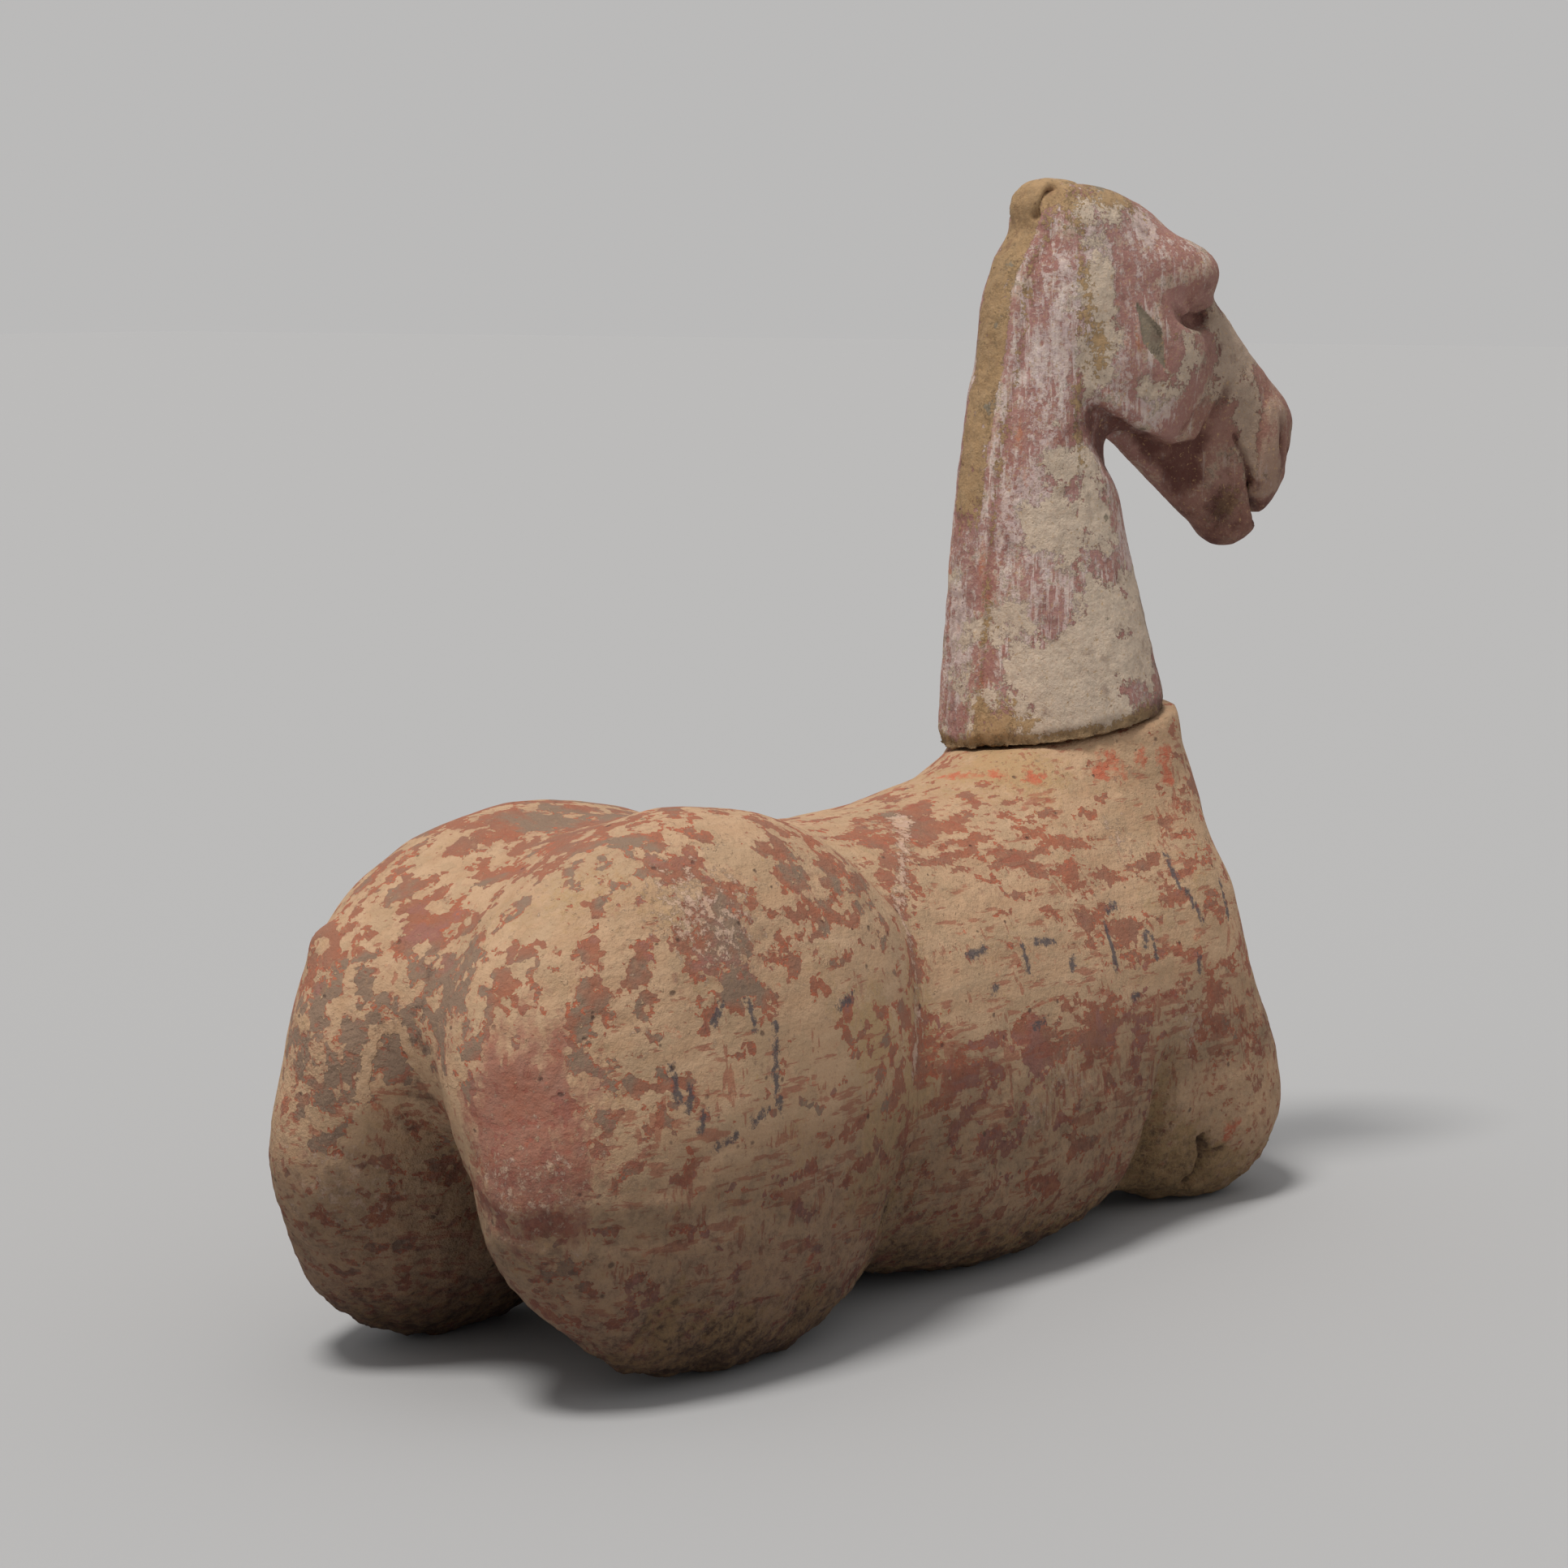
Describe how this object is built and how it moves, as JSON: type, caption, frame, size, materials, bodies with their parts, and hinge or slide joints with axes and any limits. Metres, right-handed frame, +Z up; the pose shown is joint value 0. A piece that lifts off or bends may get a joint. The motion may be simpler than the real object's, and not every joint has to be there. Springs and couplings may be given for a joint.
{
  "type": "recumbent_pottery_horse",
  "caption": "Ancient pottery horse at rest: big rounded hindquarters, plain barrel, stump forelegs, and a separate neck and head turned to its right; worn slip and paint over tan clay",
  "frame": {"origin": "on the floor under the middle of the whole object's footprint, the head included", "axes": "+Z up, +X the way the body faces, +Y the horse's left side"},
  "size_m": [0.8546, 0.297, 0.6761],
  "materials": {
    "body_clay": "matte, unglazed buff clay with worn cream slip and terracotta paint",
    "head_clay": "matte, unglazed buff clay with streaked mauve-red paint and chalky white"
  },
  "bodies": {
    "root": {"horse_body": "body_clay", "head_and_neck": "head_clay"}
  },
  "joints": []
}
